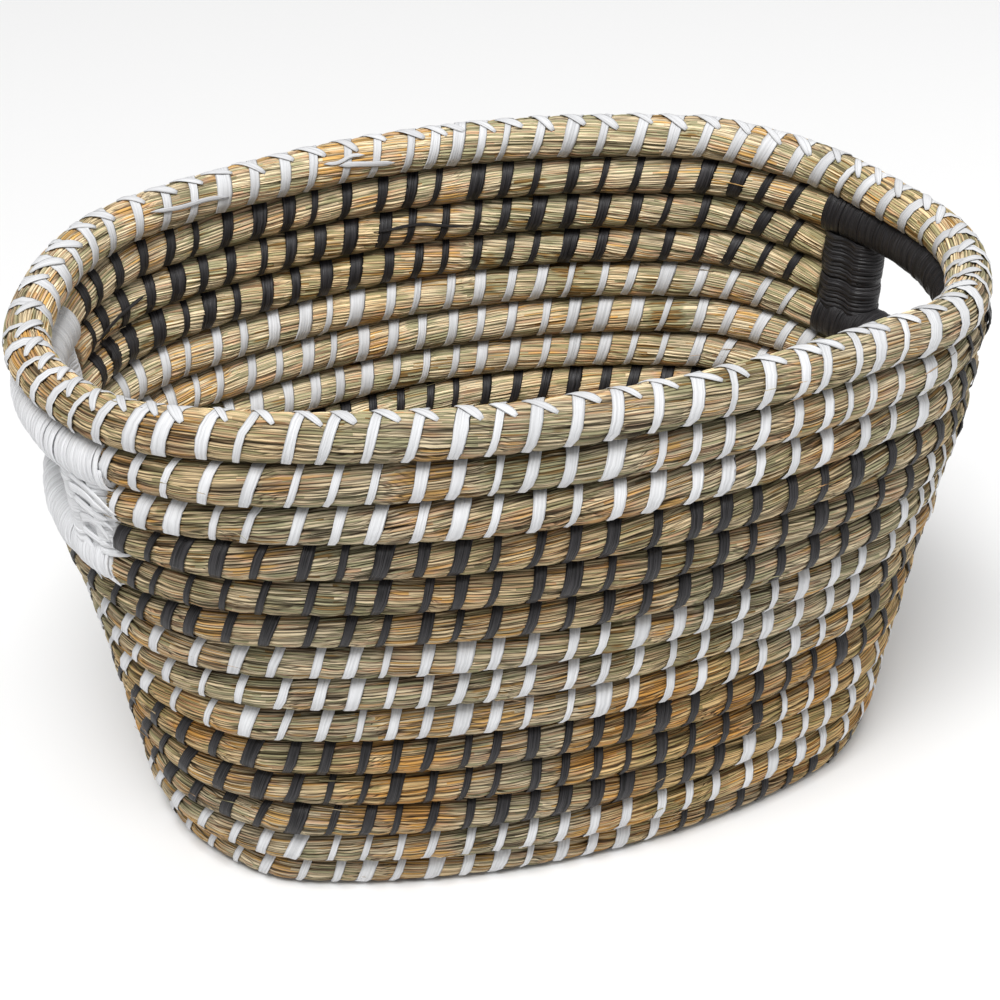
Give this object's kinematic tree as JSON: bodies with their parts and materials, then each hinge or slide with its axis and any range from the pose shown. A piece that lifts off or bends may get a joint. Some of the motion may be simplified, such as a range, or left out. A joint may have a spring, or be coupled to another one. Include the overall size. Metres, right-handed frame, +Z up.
{
  "type": "coiled storage basket",
  "caption": "Oval coiled seagrass basket with flared wall, black and white raffia stitching, thick rim and a wrapped hand opening in each end.",
  "frame": {"origin": "middle of the flat base, on the surface it rests on", "axes": "+Z up, +X along the oval's length towards the black-wrapped grip, +Y towards the back side"},
  "size_m": [0.4808, 0.2976, 0.2968],
  "materials": {
    "seagrass": "dry plant fibre",
    "white_raffia": "matte white flat strip",
    "black_raffia": "satin black flat strip"
  },
  "bodies": {
    "root": {"base_coil_1": "seagrass", "base_coil_2": "seagrass", "base_coil_3": "seagrass", "base_coil_4": "seagrass", "base_core": "seagrass", "base_stitches": "white_raffia", "black_grip_wrap": "black_raffia", "black_post_wraps": "black_raffia", "black_sill_wrap": "black_raffia", "black_stitches_02": "black_raffia", "black_stitches_03": "black_raffia", "black_stitches_04": "black_raffia", "black_stitches_05": "black_raffia", "black_stitches_06": "black_raffia", "black_stitches_08": "black_raffia", "black_stitches_09": "black_raffia", "black_stitches_10": "black_raffia", "black_stitches_11": "black_raffia", "black_stitches_12": "black_raffia", "black_stitches_14": "black_raffia", "rim_coil": "seagrass", "rim_crossing_strips": "white_raffia", "wall_coil_02": "seagrass", "wall_coil_03_back": "seagrass", "wall_coil_03_front": "seagrass", "wall_coil_04_back": "seagrass", "wall_coil_04_front": "seagrass", "wall_coil_05": "seagrass", "wall_coil_06": "seagrass", "wall_coil_07": "seagrass", "wall_coil_08": "seagrass", "wall_coil_09": "seagrass", "wall_coil_10": "seagrass", "wall_coil_11": "seagrass", "wall_coil_12": "seagrass", "wall_coil_13": "seagrass", "wall_coil_14": "seagrass", "white_grip_wrap": "white_raffia", "white_post_wraps": "white_raffia", "white_sill_wrap": "white_raffia", "white_stitches_01": "white_raffia", "white_stitches_02": "white_raffia", "white_stitches_03": "white_raffia", "white_stitches_05": "white_raffia", "white_stitches_06": "white_raffia", "white_stitches_07": "white_raffia", "white_stitches_08": "white_raffia", "white_stitches_09": "white_raffia", "white_stitches_11": "white_raffia", "white_stitches_12": "white_raffia", "white_stitches_13": "white_raffia", "white_stitches_14": "white_raffia"}
  },
  "joints": []
}
